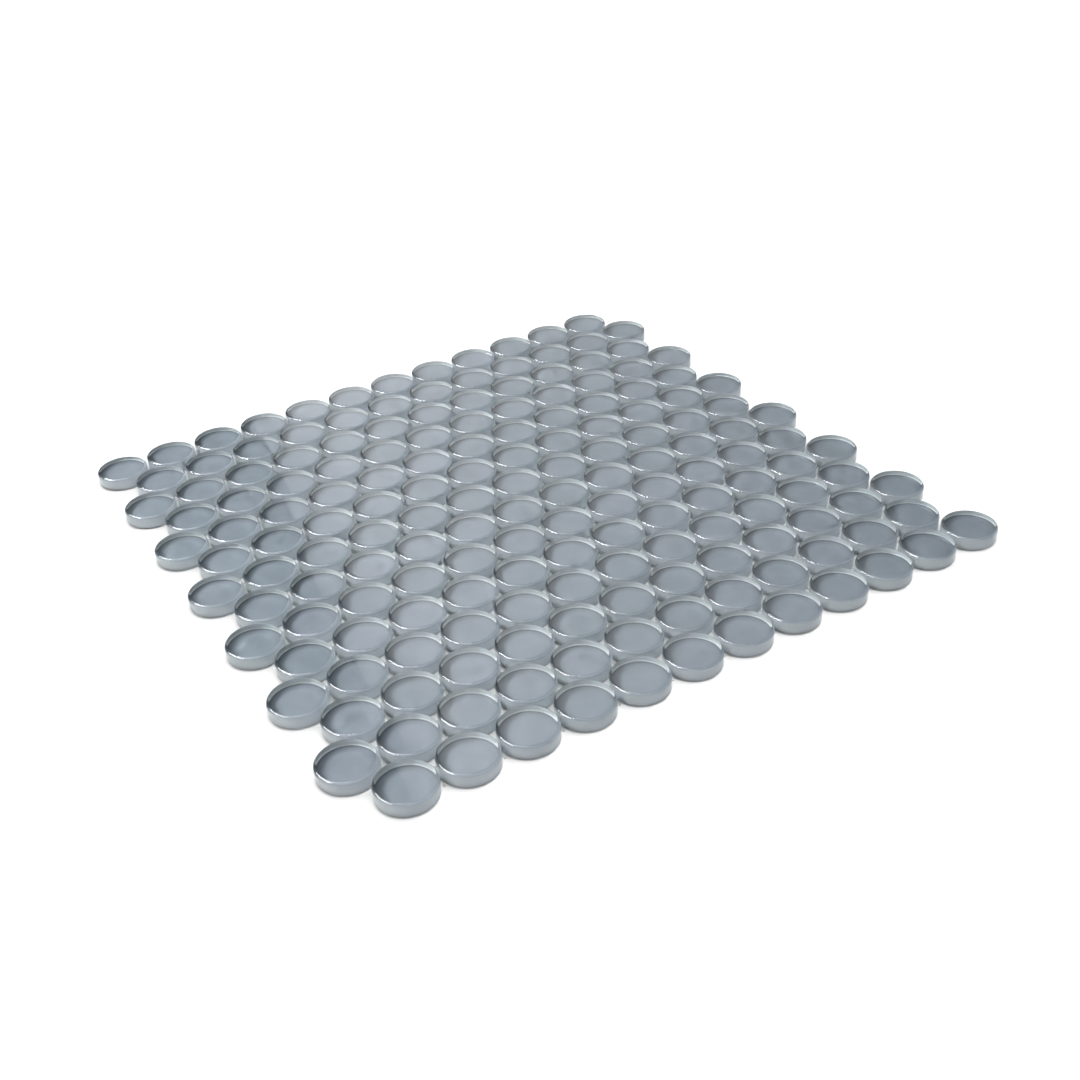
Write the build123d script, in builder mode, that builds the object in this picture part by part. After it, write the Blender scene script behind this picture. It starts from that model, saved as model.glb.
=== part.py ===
"""Interlocking sheet of round glass mosaic discs on an open backing mesh.

Millimetres, +Z up. The sheet lies on its mesh, with the polished faces of the
discs up and the origin under the middle of the sheet.
"""

import math
import os

from build123d import *

# Glass discs
DISC_DIAMETER = 23.5
GLASS_THICKNESS = 6.0
FACE_ROUND = 0.9
BACK_ROUND = 0.35

# Layout of the sheet
ROW_COUNT = 14
DISCS_PER_ROW = 12
GROUT_GAP = 1.0

# One disc came out thicker and stands proud of the rest: its row and its place in the row
PROUD_ROW = 9
PROUD_PLACE = 11
PROUD_THICKNESS = 6.5

# Backing mesh, and the film of glue that holds the discs on it
MESH_THICKNESS = 0.4
STRAND_WIDTH = 0.9
STRANDS_PER_STEP = 2
CROSS_STRANDS_PER_ROW = 3
GLUE_FILM = 0.1

# Hexagonal packing: rows lie closer than discs, and each steps half a pitch across from the next
pitch = DISC_DIAMETER + GROUT_GAP
row_pitch = pitch * math.sqrt(3) / 2
row_step = pitch / 2

# The strands divide the step between rows evenly, so they run on from row to row
strand_spacing = row_step / STRANDS_PER_STEP
cross_spacing = row_pitch / CROSS_STRANDS_PER_ROW

# The mesh is trimmed to the centres of the discs that end a row, and a little outside the
# centres of the first and last rows, so that the discs hide its edge
strand_count = 2 * STRANDS_PER_STEP * (DISCS_PER_ROW - 1) + 1
mesh_width = (strand_count - 1) * strand_spacing + STRAND_WIDTH
mesh_trim = (cross_spacing + STRAND_WIDTH) / 2


def row_centre(row):
    """Middle of a row, counted from 1 at the near edge: odd rows lie to the right."""
    shift = row_step / 2 if row % 2 else -row_step / 2
    return shift, (row - (ROW_COUNT + 1) / 2) * row_pitch


def disc_centre(row, place):
    """Centre of one disc, with places counted from 1 at the left."""
    middle_x, middle_y = row_centre(row)
    return middle_x + (place - (DISCS_PER_ROW + 1) / 2) * pitch, middle_y


def glass_discs(centres, thickness):
    """Discs glued on the mesh, with the rims of their polished faces and of their backs rounded."""
    with BuildPart() as discs:
        with BuildSketch(Plane.XY.offset(MESH_THICKNESS + GLUE_FILM)):
            with Locations(*centres):
                Circle(DISC_DIAMETER / 2)
        extrude(amount=thickness)
        fillet(discs.edges().group_by(Axis.Z)[-1], FACE_ROUND)
        fillet(discs.edges().group_by(Axis.Z)[0], BACK_ROUND)
    return discs.part


def mesh_band(low, high):
    """Mesh under a row centred on the origin, from low to high in Y, fused where strands cross."""
    first_cross = (cross_spacing - row_pitch) / 2
    cross_places = [first_cross + step * cross_spacing for step in range(CROSS_STRANDS_PER_ROW)]
    with BuildPart() as band:
        with BuildSketch():
            with Locations((0, (low + high) / 2)):
                with GridLocations(strand_spacing, 0, strand_count, 1):
                    Rectangle(STRAND_WIDTH, high - low)
            with Locations(*[(0, y) for y in cross_places if low < y < high]):
                Rectangle(mesh_width, STRAND_WIDTH)
        extrude(amount=MESH_THICKNESS)
    return band.part


os.makedirs("parts", exist_ok=True)

near_band = mesh_band(-mesh_trim, row_pitch / 2)
inner_band = mesh_band(-row_pitch / 2, row_pitch / 2)
far_band = mesh_band(-row_pitch / 2, mesh_trim)
edge_bands = {1: near_band, ROW_COUNT: far_band}
places = range(1, DISCS_PER_ROW + 1)

for row in range(1, ROW_COUNT + 1):
    with BuildPart() as backing_mesh:
        with Locations(row_centre(row)):
            add(edge_bands.get(row, inner_band), clean=False)
    backing_mesh.part.label = f"backing_mesh_{row:02d}"
    export_step(backing_mesh.part, f"parts/backing_mesh_{row:02d}.step")

    level = [disc_centre(row, place) for place in places if (row, place) != (PROUD_ROW, PROUD_PLACE)]
    disc_row = glass_discs(level, GLASS_THICKNESS)
    disc_row.label = f"disc_row_{row:02d}"
    export_step(disc_row, f"parts/disc_row_{row:02d}.step")

proud_disc = glass_discs([disc_centre(PROUD_ROW, PROUD_PLACE)], PROUD_THICKNESS)
proud_disc.label = "proud_disc"
export_step(proud_disc, "parts/proud_disc.step")
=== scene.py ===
"""Looks of a mesh-backed sheet of round glass mosaic discs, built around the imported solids."""

import math

import bpy
import numpy as np
from mathutils import Matrix, Quaternion, Vector


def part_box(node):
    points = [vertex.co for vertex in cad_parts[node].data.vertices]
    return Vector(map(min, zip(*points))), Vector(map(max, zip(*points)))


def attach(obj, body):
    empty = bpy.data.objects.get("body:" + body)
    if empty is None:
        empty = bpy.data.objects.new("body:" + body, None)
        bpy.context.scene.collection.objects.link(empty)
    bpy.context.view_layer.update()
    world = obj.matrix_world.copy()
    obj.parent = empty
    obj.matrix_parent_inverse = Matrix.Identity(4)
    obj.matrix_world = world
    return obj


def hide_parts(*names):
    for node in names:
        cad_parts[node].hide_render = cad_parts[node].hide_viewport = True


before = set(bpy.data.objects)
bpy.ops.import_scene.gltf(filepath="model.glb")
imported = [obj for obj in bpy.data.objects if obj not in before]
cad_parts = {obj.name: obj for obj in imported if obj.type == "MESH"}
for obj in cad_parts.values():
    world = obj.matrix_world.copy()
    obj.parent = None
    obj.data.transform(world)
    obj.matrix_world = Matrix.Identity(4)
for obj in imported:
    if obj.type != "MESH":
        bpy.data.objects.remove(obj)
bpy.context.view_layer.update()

SEED = 31
MM = 0.001

# Sizes read from the frame
ROWS = sorted(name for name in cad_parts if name.startswith("disc_row_"))
STRIPS = sorted(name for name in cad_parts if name.startswith("backing_mesh_"))
PROUD = "proud_disc"
FIRST_LOW, FIRST_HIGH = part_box(ROWS[0])
DISC_RADIUS = (FIRST_HIGH.y - FIRST_LOW.y) / 2
DISC_BASE = FIRST_LOW.z
DISC_HEIGHT = FIRST_HIGH.z - FIRST_LOW.z
DISCS_PER_ROW = 12
PITCH = (FIRST_HIGH.x - FIRST_LOW.x - 2 * DISC_RADIUS) / (DISCS_PER_ROW - 1)

# Rims of a disc: its face is a little rounder than in the solids, and its paint ends inside the back's rim
FACE_ROUND = 1.2 * MM
BACK_ROUND = 0.35 * MM
PAINT_EDGE = 0.6 * MM

# Slope of the faces, which don't lie quite level, and their crown, from the middle to the rim
LEAN = 0.06 * MM / DISC_RADIUS
CROWN = 0.02 * MM

# Fineness of a disc's mesh: steps around it and round each rim, rings on the flats as shares of their
# radius, and how far from a rim a ring holds its shading in place
SEGMENTS = 96
ARC_STEPS = 6
FACE_RINGS = (0.35, 0.7)
BACK_RING = 0.5
SUPPORT = 0.25 * MM

# Material slots of a disc
FACE, SIDE, BACK = range(3)

# Kept on the mesh for the paint: distance from a disc's axis as a share of its radius, and the disc's own
# shade from 0 to 1
REACH = "reach"
TONE = "tone"

# Glass: the colour and clearness of the pressed side, from outside and from within
GLASS_IOR = 1.5
SIDE_OUTSIDE = (0.75, 0.77, 0.745, 1.0)
SIDE_WITHIN = (0.68, 0.735, 0.75, 1.0)
CLEAR_OUTSIDE = 0.87
CLEAR_WITHIN = 0.15

# Paint, as stops of a ramp: its clouds, the painted shade that darkens it towards the rim where the glass
# side shades it, and the range of the discs' own tones
PAINT_CLOUDS = ((0.3, (0.32, 0.365, 0.42)), (0.7, (0.365, 0.41, 0.465)))
PAINT_RIM_SHADE = ((0.62, (1.0, 1.0, 1.0)), (0.84, (0.78, 0.78, 0.78)), (0.95, (0.40, 0.40, 0.40)))
PAINT_SHADES = ((0.0, (0.95, 0.965, 0.96)), (1.0, (1.03, 1.02, 1.03)))

# Yarn of the backing mesh, as stops of a ramp
YARN = ((0.3, (0.55, 0.58, 0.58)), (0.7, (0.72, 0.75, 0.75)))

# Studio, in metres: half the side of the floor and its drop under the sheet, the strength of the white
# surround as light and as the camera sees it, and the fade of the panel behind, as stops of a ramp
FLOOR_REACH = 1.7
FLOOR_DROP = 0.1 * MM
SURROUND_LIGHT = 0.04
SURROUND_SEEN = 1.0
PANEL_FADE = ((0.0, (0.0, 0.0, 0.0)), (0.88, (0.9, 0.9, 0.9)), (1.0, (0.5, 0.5, 0.5)))

# Photograph's viewpoint, for a square frame 1080 pixels wide
FRAME_PIXELS = 1080
FOCAL_PIXELS = 1343.946
VIEW_AZIMUTH = math.radians(-30.104)
VIEW_ELEVATION = math.radians(33.087)
VIEW_ROLL = math.radians(3.721)
VIEW_DISTANCE = 24.04855 * PITCH
VIEW_TARGET = Vector((-0.29712, -1.23230, 0.0)) * PITCH
SENSOR_WIDTH = 36.0

rng = np.random.default_rng(SEED)


def set_stops(ramp, stops):
    """Gives a colour ramp its stops of (position, colour)."""
    elements = ramp.color_ramp.elements
    while len(elements) < len(stops):
        elements.new(0.5)
    for element, (position, colour) in zip(elements, stops):
        element.position = position
        element.color = (*colour, 1.0)


class Shader:
    """A material's node tree, with short ways to add and join nodes."""

    def __init__(self, name):
        self.material = bpy.data.materials.new(name)
        self.material.use_nodes = True
        self.tree = self.material.node_tree
        self.tree.nodes.clear()
        self.output = self.add("ShaderNodeOutputMaterial")

    def add(self, kind, **settings):
        node = self.tree.nodes.new(kind)
        for key, value in settings.items():
            setattr(node, key, value)
        return node

    def join(self, source, target):
        self.tree.links.new(source, target)

    def principled(self, **inputs):
        node = self.add("ShaderNodeBsdfPrincipled")
        for key, value in inputs.items():
            node.inputs[key.replace("_", " ")].default_value = value
        self.join(node.outputs[0], self.output.inputs["Surface"])
        return node

    def noise(self, scale, detail=2.0, stretch=(1.0, 1.0, 1.0)):
        place = self.add("ShaderNodeTexCoord")
        mapping = self.add("ShaderNodeMapping")
        mapping.inputs["Scale"].default_value = stretch
        noise = self.add("ShaderNodeTexNoise")
        noise.inputs["Scale"].default_value = scale
        noise.inputs["Detail"].default_value = detail
        self.join(place.outputs["Object"], mapping.inputs["Vector"])
        self.join(mapping.outputs["Vector"], noise.inputs["Vector"])
        return noise.outputs["Fac"]

    def kept(self, name):
        """A value that is kept on the mesh."""
        return self.add("ShaderNodeAttribute", attribute_name=name).outputs["Fac"]

    def ramp(self, factor, stops):
        ramp = self.add("ShaderNodeValToRGB")
        set_stops(ramp, stops)
        self.join(factor, ramp.inputs["Fac"])
        return ramp.outputs["Color"]

    def multiply(self, first, second):
        mix = self.add("ShaderNodeMix", data_type="RGBA", blend_type="MULTIPLY")
        mix.inputs["Factor"].default_value = 1.0
        self.join(first, mix.inputs["A"])
        self.join(second, mix.inputs["B"])
        return mix.outputs["Result"]

    def bump(self, height, strength, distance):
        bump = self.add("ShaderNodeBump")
        bump.inputs["Strength"].default_value = strength
        bump.inputs["Distance"].default_value = distance
        self.join(height, bump.inputs["Height"])
        return bump.outputs["Normal"]


def polished_glass():
    """Clear glass with a fire-polished face."""
    shader = Shader("polished_glass")
    glass = shader.principled(
        Base_Color=(0.97, 0.985, 0.98, 1.0), Roughness=0.04, IOR=GLASS_IOR, Transmission_Weight=1.0)
    waves = shader.noise(scale=90.0)
    shader.join(shader.bump(waves, strength=0.04, distance=0.2 * MM), glass.inputs["Normal"])
    return shader.material


def pressed_side():
    """The pressed side of a disc: nearly clear from outside, and satin from within."""
    shader = Shader("pressed_side")
    skin = shader.principled(Roughness=0.08, IOR=GLASS_IOR)
    grain = shader.noise(scale=260.0, detail=4.0, stretch=(1.0, 1.0, 0.4))
    shader.join(shader.bump(grain, strength=0.08, distance=0.1 * MM), skin.inputs["Normal"])
    within = shader.add("ShaderNodeNewGeometry").outputs["Backfacing"]
    colour = shader.add("ShaderNodeMix", data_type="RGBA")
    colour.inputs["A"].default_value = SIDE_OUTSIDE
    colour.inputs["B"].default_value = SIDE_WITHIN
    shader.join(within, colour.inputs["Factor"])
    shader.join(colour.outputs["Result"], skin.inputs["Base Color"])
    clear = shader.add("ShaderNodeMapRange")
    clear.inputs["To Min"].default_value = CLEAR_OUTSIDE
    clear.inputs["To Max"].default_value = CLEAR_WITHIN
    shader.join(within, clear.inputs["Value"])
    shader.join(clear.outputs["Result"], skin.inputs["Transmission Weight"])
    return shader.material


def back_paint():
    """Grey-blue pearly paint fired on the back of the glass, cloudy, with painted shade that darkens it
    towards the rim where the glass side shades it.
    """
    shader = Shader("back_paint")
    paint = shader.principled(Metallic=0.25, Roughness=0.40)
    clouds = shader.ramp(shader.noise(scale=120.0, detail=4.0), PAINT_CLOUDS)
    # Painted shade: the paint grows darker towards the rim, standing in for the shade the glass side casts
    # there
    rim_shade = shader.ramp(shader.kept(REACH), PAINT_RIM_SHADE)
    shade = shader.ramp(shader.kept(TONE), PAINT_SHADES)
    colour = shader.multiply(shader.multiply(clouds, rim_shade), shade)
    shader.join(colour, paint.inputs["Base Color"])
    return shader.material


def fibre():
    """Coated glass-fibre yarn of the backing mesh."""
    shader = Shader("mesh_fibre")
    yarn = shader.principled(Roughness=0.7)
    strands = shader.noise(scale=900.0, detail=3.0)
    shader.join(shader.ramp(strands, YARN), yarn.inputs["Base Color"])
    shader.join(shader.bump(strands, strength=0.4, distance=0.05 * MM), yarn.inputs["Normal"])
    return shader.material


def disc_profile(height):
    """Half section of a disc, (radius, height) from face to back, and where its side starts and ends."""
    quarter = [math.pi / 2 * step / ARC_STEPS for step in range(ARC_STEPS + 1)]
    flat = DISC_RADIUS - FACE_ROUND
    under = DISC_RADIUS - BACK_ROUND
    points = [(share * flat, height) for share in FACE_RINGS]
    points += [(flat - SUPPORT, height)]
    points += [(flat + FACE_ROUND * math.sin(a), height - FACE_ROUND * (1 - math.cos(a))) for a in quarter]
    side_start = len(points) - ARC_STEPS // 2
    points += [(DISC_RADIUS, height - FACE_ROUND - SUPPORT), (DISC_RADIUS, BACK_ROUND + SUPPORT)]
    points += [(under + BACK_ROUND * math.cos(a), BACK_ROUND * (1 - math.sin(a))) for a in quarter]
    side_end = len(points)
    points += [(DISC_RADIUS - PAINT_EDGE, 0.0), (BACK_RING * under, 0.0)]
    return points, side_start, side_end


def turned_verts(points, height):
    """The middle of a disc's face, a ring for each point of its profile, and the middle of its back."""
    angles = np.linspace(0, 2 * math.pi, SEGMENTS, endpoint=False)
    ring = np.stack([np.cos(angles), np.sin(angles)], axis=1)
    verts = [(0.0, 0.0, height)]
    for radius, level in points:
        verts += [(radius * x, radius * y, level) for x, y in ring]
    verts.append((0.0, 0.0, 0.0))
    return np.array(verts)


def turned_faces(ring_count, side_start, side_end):
    """Faces over the rings of a disc, and the material slot of each."""
    steps = range(SEGMENTS)
    after = [(step + 1) % SEGMENTS for step in steps]
    faces = [(0, 1 + step, 1 + after[step]) for step in steps]
    slots = [FACE] * SEGMENTS
    for level in range(ring_count - 1):
        here = 1 + level * SEGMENTS
        below = here + SEGMENTS
        faces += [(here + s, below + s, below + after[s], here + after[s]) for s in steps]
        slot = FACE if level < side_start else SIDE if level < side_end else BACK
        slots += [slot] * SEGMENTS
    last = 1 + (ring_count - 1) * SEGMENTS
    end = last + SEGMENTS
    faces += [(end, last + after[step], last + step) for step in steps]
    slots += [BACK] * SEGMENTS
    return faces, slots


def disc_mesh(centre, height, lean):
    """Vertices, faces, material slots and reach of one disc, whose face leans and crowns a little."""
    points, side_start, side_end = disc_profile(height)
    verts = turned_verts(points, height)
    reach = np.hypot(verts[:, 0], verts[:, 1]) / DISC_RADIUS
    drop = DISC_RADIUS * np.hypot(*lean)
    rise = verts[:, :2] @ lean - drop - CROWN * reach**2
    verts[:, 2] += DISC_BASE + rise * (verts[:, 2] / height)
    verts[:, 0] += centre[0]
    verts[:, 1] += centre[1]
    faces, slots = turned_faces(len(points), side_start, side_end)
    return verts, faces, slots, reach


def add_object(name, data):
    """A new object in the scene, around a mesh, a light or a camera."""
    thing = bpy.data.objects.new(name, data)
    bpy.context.scene.collection.objects.link(thing)
    return thing


def keep_values(mesh, name, values):
    """Keeps a number for each vertex on a mesh."""
    kept = mesh.attributes.new(name, "FLOAT", "POINT")
    kept.data.foreach_set("value", np.concatenate(values))


def joined_object(name, discs, materials):
    """One mesh object from several discs, each with a shade of its own."""
    verts, faces, slots, reaches, tones = [], [], [], [], []
    start = 0
    for disc_verts, disc_faces, disc_slots, disc_reach in discs:
        verts.append(disc_verts)
        faces += [tuple(start + corner for corner in face) for face in disc_faces]
        slots += disc_slots
        reaches.append(disc_reach)
        tones.append(np.full(len(disc_verts), rng.uniform()))
        start += len(disc_verts)
    mesh = bpy.data.meshes.new(name)
    mesh.from_pydata(np.concatenate(verts).tolist(), [], faces)
    for material in materials:
        mesh.materials.append(material)
    mesh.polygons.foreach_set("material_index", slots)
    mesh.polygons.foreach_set("use_smooth", [True] * len(faces))
    keep_values(mesh, REACH, reaches)
    keep_values(mesh, TONE, tones)
    mesh.update()
    return add_object(name, mesh)


def disc_centres(node):
    """Centres of the discs in a row, leaving out the place of the proud disc."""
    low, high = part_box(node)
    odd_low, odd_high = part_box(PROUD)
    odd = ((odd_low + odd_high) / 2).to_2d()
    first, line = low.x + DISC_RADIUS, (low.y + high.y) / 2
    row = [Vector((first + place * PITCH, line)) for place in range(DISCS_PER_ROW)]
    return [centre for centre in row if (centre - odd).length > DISC_RADIUS]


def place_glass(piece, node):
    """Puts a piece of glass on the sheet in place of a node's solids."""
    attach(piece, "root")
    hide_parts(node)


def make_discs():
    """Turned glass for each row of discs, and for the proud disc last."""
    materials = [polished_glass(), pressed_side(), back_paint()]
    for node in ROWS:
        discs = [disc_mesh(centre, DISC_HEIGHT, rng.normal(0.0, LEAN, 2)) for centre in disc_centres(node)]
        place_glass(joined_object(node.replace("disc", "glass"), discs, materials), node)
    low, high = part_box(PROUD)
    disc = disc_mesh(((low + high) / 2).to_2d(), high.z - low.z, rng.normal(0.0, LEAN, 2))
    place_glass(joined_object("glass_proud_disc", [disc], materials), PROUD)


def dress_mesh():
    """Gives the solids of the backing mesh their yarn."""
    yarn = fibre()
    for node in STRIPS:
        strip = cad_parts[node]
        strip.data.materials.clear()
        strip.data.materials.append(yarn)


def make_floor():
    """A plain pale floor just under the sheet."""
    shader = Shader("studio_floor")
    shader.principled(Base_Color=(0.6, 0.6, 0.6, 1.0), Roughness=0.9, Specular_IOR_Level=0.0)
    far = FLOOR_REACH
    corners = [(-far, -far, 0), (far, -far, 0), (far, far, 0), (-far, far, 0)]
    mesh = bpy.data.meshes.new("studio_floor")
    mesh.from_pydata(corners, [], [(0, 1, 2, 3)])
    mesh.materials.append(shader.material)
    floor = add_object("studio_floor", mesh)
    floor.location.z = -FLOOR_DROP
    return floor


def make_world():
    """A surround that is white to the camera and lights the sheet only faintly."""
    world = bpy.data.worlds.new("studio")
    bpy.context.scene.world = world
    world.use_nodes = True
    tree = world.node_tree
    background = tree.nodes["Background"]
    background.inputs["Color"].default_value = (1.0, 1.0, 1.0, 1.0)
    rays = tree.nodes.new("ShaderNodeLightPath")
    strength = tree.nodes.new("ShaderNodeMapRange")
    strength.inputs["To Min"].default_value = SURROUND_LIGHT
    strength.inputs["To Max"].default_value = SURROUND_SEEN
    tree.links.new(rays.outputs["Is Camera Ray"], strength.inputs["Value"])
    tree.links.new(strength.outputs["Result"], background.inputs["Strength"])


def soft_light(name, turn, rise, distance, size, radiance, roll=0.0):
    """A soft box that faces the sheet, turned to the right of the view and raised, both in degrees."""
    heading = math.radians(turn) - VIEW_AZIMUTH
    rise = math.radians(rise)
    toward = Vector((
        math.sin(heading) * math.cos(rise), math.cos(heading) * math.cos(rise), math.sin(rise)))
    light = bpy.data.lights.new(name, "AREA")
    light.shape = "RECTANGLE"
    light.size, light.size_y = size
    light.energy = radiance * math.pi * size[0] * size[1]
    lamp = add_object(name, light)
    lamp.location = toward * distance
    facing = (-toward).to_track_quat("-Z", "Y") @ Quaternion((0.0, 0.0, 1.0), math.radians(roll))
    lamp.rotation_euler = facing.to_euler()
    return lamp


def only_mirrored(lamp):
    """Lets a lamp show in the gloss of the glass without lighting the paint under it."""
    lamp.visible_diffuse = False
    lamp.visible_transmission = False


def fade_across(lamp, stops):
    """Lets the strength of a lamp change across its width."""
    lamp.data.use_nodes = True
    tree = lamp.data.node_tree
    place = tree.nodes.new("ShaderNodeNewGeometry")
    split = tree.nodes.new("ShaderNodeSeparateXYZ")
    ramp = tree.nodes.new("ShaderNodeValToRGB")
    set_stops(ramp, stops)
    tree.links.new(place.outputs["Parametric"], split.inputs["Vector"])
    tree.links.new(split.outputs["X"], ramp.inputs["Fac"])
    tree.links.new(ramp.outputs["Color"], tree.nodes["Emission"].inputs["Strength"])


def link_floor(name, floor, state):
    """A light's list of receivers that takes in only the floor, or leaves it out."""
    receivers = bpy.data.collections.new(name)
    receivers.objects.link(floor)
    receivers.collection_objects[0].light_linking.link_state = state
    return receivers


def light_scene(floor):
    """A key from the left with a faint fill, two boxes seen only in the gloss, and the floor's own light."""
    make_world()
    key = soft_light("key", turn=-95.0, rise=43.0, distance=2.0, size=(2.0, 0.9), radiance=19.5)
    rim_box = soft_light("rim_box", turn=-95.0, rise=68.0, distance=1.5, size=(0.9, 1.2), radiance=4.5)
    panel = soft_light(
        "back_panel", turn=6.9, rise=34.0, distance=1.4, size=(0.909, 1.1), radiance=1.8, roll=24.0)
    fill = soft_light("fill", turn=180.0, rise=48.0, distance=1.6, size=(2.0, 1.2), radiance=1.2)
    table = soft_light("table_light", turn=0.0, rise=89.0, distance=1.8, size=(6.0, 6.0), radiance=2.9)
    fade_across(panel, PANEL_FADE)
    for lamp in (rim_box, panel):
        only_mirrored(lamp)
    table.light_linking.receiver_collection = link_floor("floor_only", floor, "INCLUDE")
    spared = link_floor("all_but_floor", floor, "EXCLUDE")
    for lamp in (key, fill):
        lamp.light_linking.receiver_collection = spared
    bpy.context.scene.view_settings.view_transform = "Standard"


def make_camera():
    """Camera at the photograph's viewpoint, turned a little about its line of sight."""
    forward = Vector((
        -math.sin(VIEW_AZIMUTH) * math.cos(VIEW_ELEVATION),
        math.cos(VIEW_AZIMUTH) * math.cos(VIEW_ELEVATION),
        -math.sin(VIEW_ELEVATION),
    ))
    level_right = Vector((math.cos(VIEW_AZIMUTH), math.sin(VIEW_AZIMUTH), 0.0))
    level_down = forward.cross(level_right)
    right = math.cos(VIEW_ROLL) * level_right + math.sin(VIEW_ROLL) * level_down
    down = math.cos(VIEW_ROLL) * level_down - math.sin(VIEW_ROLL) * level_right
    lens = bpy.data.cameras.new("photo_view")
    lens.sensor_width = SENSOR_WIDTH
    lens.lens = SENSOR_WIDTH * FOCAL_PIXELS / FRAME_PIXELS
    lens.clip_start = 0.01
    camera = add_object("photo_view", lens)
    turn = Matrix((right, -down, -forward)).transposed()
    camera.matrix_world = Matrix.Translation(VIEW_TARGET - VIEW_DISTANCE * forward) @ turn.to_4x4()
    bpy.context.scene.camera = camera


make_discs()
dress_mesh()
light_scene(make_floor())
make_camera()
